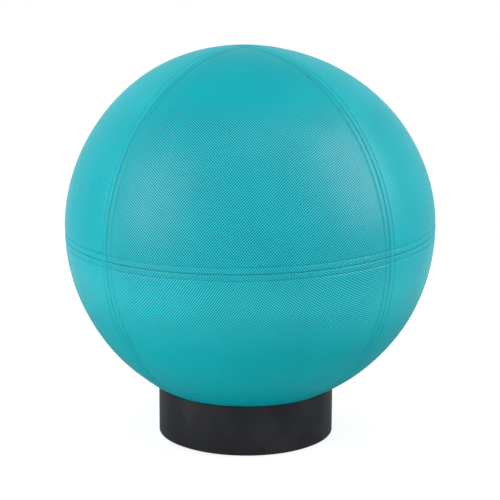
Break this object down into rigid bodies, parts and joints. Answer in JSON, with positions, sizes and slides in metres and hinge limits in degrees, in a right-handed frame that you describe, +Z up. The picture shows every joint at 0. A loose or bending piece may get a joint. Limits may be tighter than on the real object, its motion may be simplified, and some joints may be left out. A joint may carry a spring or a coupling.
{
  "type": "ball chair",
  "caption": "Covered exercise ball resting loose in a moulded ring, used as a seat that rocks and lifts out.",
  "frame": {"origin": "centre of the ring on the floor", "axes": "+Z up, -Y towards the front of the picture, +X to its right"},
  "size_m": [0.595, 0.595, 0.641],
  "materials": {
    "base_plastic": "satin moulded black",
    "grip_rubber": "matt",
    "floor_plastic": "matt moulded black",
    "screw_steel": "zinc plated",
    "foot_rubber": "matt",
    "bladder_vinyl": "smooth soft vinyl",
    "plug_plastic": "smooth white",
    "cover_mesh": "turquoise spacer mesh",
    "woven_tape": "woven tape",
    "zip_tape": "fine woven tape",
    "zip_plastic": "moulded teeth",
    "zip_metal": "nickel plated, satin"
  },
  "bodies": {
    "base": {"base_shell": "base_plastic", "grip_ring": "grip_rubber", "base_floor": "floor_plastic", "floor_screws": "screw_steel", "foot_ring": "foot_rubber"},
    "ball": {"ball_bladder": "bladder_vinyl", "valve_seat": "bladder_vinyl", "valve_plug": "plug_plastic", "cover_upper_front": "cover_mesh", "cover_upper_right": "cover_mesh", "cover_upper_back": "cover_mesh", "cover_upper_left": "cover_mesh", "cover_lower_front": "cover_mesh", "cover_lower_right": "cover_mesh", "cover_lower_back": "cover_mesh", "cover_lower_left": "cover_mesh", "seam_tapes_upper": "woven_tape", "seam_tapes_lower": "woven_tape", "equator_tape": "woven_tape", "zip_guard": "woven_tape", "zip_tape_upper": "zip_tape", "zip_tape_lower": "zip_tape", "zip_teeth_upper": "zip_plastic", "zip_teeth_lower": "zip_plastic", "zip_top_stops": "zip_metal", "zip_bottom_stop": "zip_metal"},
    "zip_slider": {"zip_slider": "zip_metal"},
    "zip_pull": {"zip_pull": "zip_metal"}
  },
  "joints": [
    {"name": "ball_lift", "type": "slide", "parent": "base", "child": "ball", "axis": [0, 0, 1], "range_m": [0, 0.12]},
    {"name": "zip_slide", "type": "hinge", "parent": "ball", "child": "zip_slider", "pos_m": [0, 0, 0.34351], "axis": [0.0244, 0.0593, -0.9979], "range_deg": [0, 75], "deforming": ["zip_teeth_upper", "zip_teeth_lower"]},
    {"name": "pull_turn", "type": "hinge", "parent": "zip_slider", "child": "zip_pull", "pos_m": [-0.18017, 0.23805, 0.35326], "axis": [-0.0244, -0.0593, 0.9979], "range_deg": [0, 178]}
  ]
}
